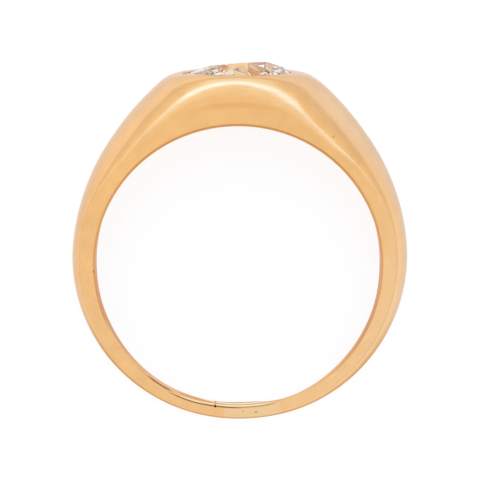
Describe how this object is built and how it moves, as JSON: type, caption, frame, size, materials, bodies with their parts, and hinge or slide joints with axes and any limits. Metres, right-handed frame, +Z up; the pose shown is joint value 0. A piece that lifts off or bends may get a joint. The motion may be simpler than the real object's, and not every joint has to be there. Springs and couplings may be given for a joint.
{
  "type": "flush set gypsy ring",
  "caption": "Gold ring with a broad flat-topped head that tapers to a slim shank, and a round stone sunk flush in the head. Lies on its side.",
  "frame": {"origin": "on the surface that the ring lies on, under the middle of its outline", "axes": "+Z up from the surface, the stone faces -Y, and X runs across the finger hole"},
  "size_m": [0.0223, 0.0238, 0.0089],
  "materials": {
    "gold": "satin",
    "stone": "polished facets"
  },
  "bodies": {
    "root": {"gold_band": "gold", "diamond": "stone"}
  },
  "joints": []
}
